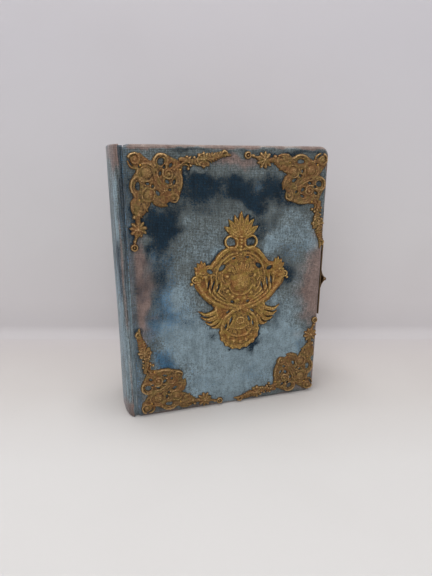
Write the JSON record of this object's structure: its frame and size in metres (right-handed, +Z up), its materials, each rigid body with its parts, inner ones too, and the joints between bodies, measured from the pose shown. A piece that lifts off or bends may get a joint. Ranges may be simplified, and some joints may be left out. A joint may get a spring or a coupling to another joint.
{
  "type": "musical photo album",
  "caption": "Velvet-covered photograph album with stamped gilt corner mounts, a centre medallion, a side clasp, card leaves and a wind-up cylinder music movement behind them.",
  "frame": {"origin": "middle of the bounding box at its base, the tail edge that the album stands on", "axes": "+X from the spine to the fore-edge, +Y from the front cover to the back cover, +Z up"},
  "size_m": [0.23, 0.0832, 0.28],
  "materials": {
    "velvet_blue": "worn cotton velvet, pile rubbed thin",
    "velvet_spine": "worn velvet, faded reddish along the ridge",
    "book_board": "grey-brown pasted board",
    "lining_paper": "moire end paper",
    "leaf_card": "card leaves with gilt edges",
    "guard_linen": "linen guard",
    "gilt_mount": "stamped brass, antique gilt",
    "dark_brass": "tarnished brass",
    "plate_brass": "lacquered brass",
    "blued_steel": "blued steel",
    "bright_steel": "bright steel",
    "case_wood": "stained softwood, gilt outside"
  },
  "bodies": {
    "back_cover": {"back_board": "book_board", "back_velvet": "velvet_blue", "back_lining": "lining_paper", "case_tail_wall": "case_wood", "case_head_wall": "case_wood", "case_spine_wall": "case_wood", "case_fore_wall": "case_wood", "case_panel": "case_wood", "panel_screws": "blued_steel", "foot_1": "gilt_mount", "foot_2": "gilt_mount", "foot_3": "gilt_mount", "foot_4": "gilt_mount", "clasp_hinge_plate": "dark_brass", "clasp_hinge_pins": "dark_brass", "clasp_pin": "dark_brass", "key_cup": "plate_brass", "bedplate": "plate_brass", "bed_screws": "blued_steel", "tail_bearing": "plate_brass", "head_bearing": "plate_brass", "governor_plate": "plate_brass", "frame_screws": "blued_steel", "barrel_bridge": "plate_brass", "click_stud": "blued_steel", "comb_base": "plate_brass", "comb": "bright_steel", "comb_screws": "blued_steel"},
    "spine": {"spine_board": "book_board", "spine_velvet": "velvet_spine", "spine_hollow": "book_board", "guard_cloth": "guard_linen", "leaf_block": "leaf_card"},
    "front_cover": {"front_board": "book_board", "front_velvet": "velvet_blue", "front_lining": "lining_paper", "corner_head_spine": "gilt_mount", "corner_head_fore": "gilt_mount", "corner_tail_spine": "gilt_mount", "corner_tail_fore": "gilt_mount", "medallion": "gilt_mount", "mount_nails": "gilt_mount", "catch_plate": "dark_brass", "catch_pins": "dark_brass"},
    "strap": {"clasp_strap": "dark_brass"},
    "winding": {"winding_arbor": "bright_steel", "winding_key": "plate_brass", "ratchet": "blued_steel"},
    "click": {"click": "blued_steel"},
    "barrel": {"barrel": "plate_brass", "crown_wheel": "plate_brass", "mainspring": "blued_steel"},
    "cylinder": {"cylinder_sleeve": "plate_brass", "cylinder_arbor": "bright_steel", "great_wheel": "plate_brass"},
    "governor": {"governor_wheel": "bright_steel"},
    "fly": {"fly": "plate_brass"},
    "stop": {"stop_slide": "plate_brass"}
  },
  "joints": [
    {"name": "back_joint", "type": "hinge", "parent": "back_cover", "child": "spine", "pos_m": [-0.1045, 0.0356, 0.14], "axis": [0, 0, -1], "range_deg": [0, 100]},
    {"name": "front_joint", "type": "hinge", "parent": "spine", "child": "front_cover", "pos_m": [-0.1045, -0.0384, 0.14], "axis": [0, 0, -1], "range_deg": [0, 170]},
    {"name": "strap_hinge", "type": "hinge", "parent": "back_cover", "child": "strap", "pos_m": [0.111, 0.0321, 0.1388], "axis": [0, 0, 1], "range_deg": [0, 150]},
    {"name": "winding_turn", "type": "hinge", "parent": "back_cover", "child": "winding", "pos_m": [0.0475, 0.0282, 0.09], "axis": [0, -1, 0], "continuous": true},
    {"name": "click_pivot", "type": "hinge", "parent": "back_cover", "child": "click", "pos_m": [0.035, 0.01232, 0.09], "axis": [0, -1, 0], "range_deg": [0, 12]},
    {"name": "barrel_turn", "type": "hinge", "parent": "back_cover", "child": "barrel", "pos_m": [0.0475, 0.0245, 0.09], "axis": [0, 1, 0], "continuous": true},
    {"name": "cylinder_turn", "type": "hinge", "parent": "back_cover", "child": "cylinder", "pos_m": [0.0475, 0.0117, 0.14], "axis": [0, 0, 1], "continuous": true},
    {"name": "governor_turn", "type": "hinge", "parent": "back_cover", "child": "governor", "pos_m": [0.0605, 0.0117, 0.178], "axis": [0, 0, 1], "continuous": true},
    {"name": "fly_turn", "type": "hinge", "parent": "back_cover", "child": "fly", "pos_m": [0.0701, 0.0117, 0.181], "axis": [0, 0, 1], "continuous": true},
    {"name": "stop_push", "type": "slide", "parent": "back_cover", "child": "stop", "axis": [-1, 0, 0], "range_m": [0, 0.0024]}
  ],
  "couplings": [
    {"joint": "cylinder_turn", "follows": "barrel_turn", "ratio": -4},
    {"joint": "governor_turn", "follows": "barrel_turn", "ratio": 16.8},
    {"joint": "fly_turn", "follows": "barrel_turn", "ratio": -84}
  ]
}
